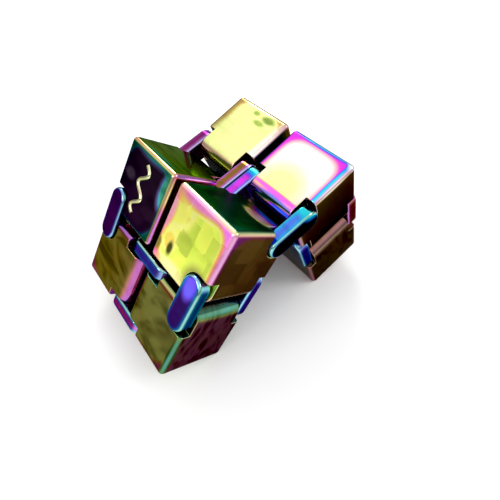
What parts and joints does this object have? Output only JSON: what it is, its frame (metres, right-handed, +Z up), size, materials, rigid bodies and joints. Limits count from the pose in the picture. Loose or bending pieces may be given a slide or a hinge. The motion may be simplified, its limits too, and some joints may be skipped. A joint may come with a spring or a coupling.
{
  "type": "folding fidget cube",
  "caption": "Metal folding fidget cube: solid blocks joined in a ring by double-pivot link hinges, standing half open, rainbow mirror finish.",
  "frame": {"origin": "centre of the bounding box, on the plane the half-open cube stands on", "axes": "+Z up; X runs across the crest hinges from the left half to the right half; Y runs along the crest hinges from the near blocks to the far blocks"},
  "size_m": [0.0702, 0.0418, 0.0437],
  "materials": {
    "plum": "mirror polish with a rainbow interference film, dark plum and green",
    "lime": "mirror polish with a rainbow interference film, lime and gold",
    "olive": "mirror polish with a rainbow interference film, olive and magenta",
    "straw": "mirror polish with a rainbow interference film, pale straw",
    "pearl": "mirror polish with a rainbow interference film, pearl, pink and cyan",
    "umber": "mirror polish with a rainbow interference film, dark umber",
    "violet": "mirror polish with a rainbow interference film, blue and violet",
    "steel": "ground steel pin"
  },
  "bodies": {
    "left_half": {"left_far_upper_block": "plum", "left_near_upper_block": "lime", "left_far_lower_block": "olive", "left_near_lower_block": "olive", "left_far_outer_link": "violet", "left_far_inner_link": "violet", "left_far_lower_axle": "steel", "left_far_upper_axle": "steel", "left_near_outer_link": "violet", "left_near_inner_link": "violet", "left_near_upper_axle": "steel", "left_near_lower_axle": "steel", "left_base_upper_link": "violet", "left_base_lower_link": "violet", "left_base_near_axle": "steel", "left_base_far_axle": "steel"},
    "crest_hinge": {"crest_far_inner_link": "violet", "crest_far_outer_link": "violet", "crest_far_left_axle": "steel", "crest_far_right_axle": "steel", "crest_near_outer_link": "violet", "crest_near_inner_link": "violet", "crest_near_left_axle": "steel", "crest_near_right_axle": "steel"},
    "right_half": {"right_far_upper_block": "straw", "right_near_upper_block": "pearl", "right_far_lower_block": "umber", "right_near_lower_block": "umber", "right_far_outer_link": "violet", "right_far_inner_link": "violet", "right_far_upper_axle": "steel", "right_far_lower_axle": "steel", "right_near_outer_link": "violet", "right_near_inner_link": "violet", "right_near_lower_axle": "steel", "right_near_upper_axle": "steel", "right_base_lower_link": "violet", "right_base_upper_link": "violet", "right_base_near_axle": "steel", "right_base_far_axle": "steel"}
  },
  "joints": [
    {"name": "crest_left_pivot", "type": "hinge", "parent": "left_half", "child": "crest_hinge", "pos_m": [-0.00179, 0, 0.03202], "axis": [0, -1, 0], "range_deg": [-52, 38]},
    {"name": "crest_right_pivot", "type": "hinge", "parent": "crest_hinge", "child": "right_half", "pos_m": [0.00637, 0, 0.03472], "axis": [0, -1, 0], "range_deg": [-5, 85]}
  ]
}
